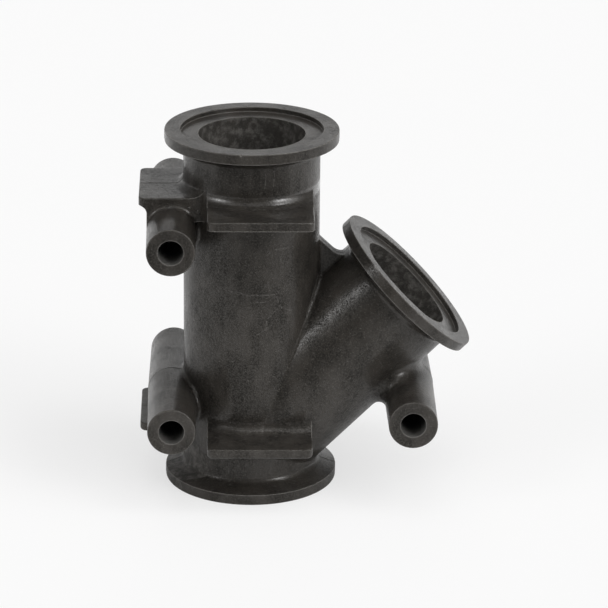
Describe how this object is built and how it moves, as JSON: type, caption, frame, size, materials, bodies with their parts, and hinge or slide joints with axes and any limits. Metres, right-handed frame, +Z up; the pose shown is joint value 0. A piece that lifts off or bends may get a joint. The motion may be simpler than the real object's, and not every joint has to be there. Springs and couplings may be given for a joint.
{
  "type": "flanged wye fitting",
  "caption": "Moulded 45 degree flanged wye pipe fitting: upright run, leaning branch, clamp flanges, bolt tubes through both pipes and flat mounting lugs.",
  "frame": {"origin": "centre of the lower flange face, on the run's axis", "axes": "+Z up along the run's axis, +X towards the side on which the branch leans out, +Y to the back, square to the parting plane of the mould"},
  "size_m": [0.1588, 0.1121, 0.1761],
  "materials": {
    "moulded_plastic": "satin, as moulded, faint flow marks"
  },
  "bodies": {
    "root": {"wye_body": "moulded_plastic"}
  },
  "joints": []
}
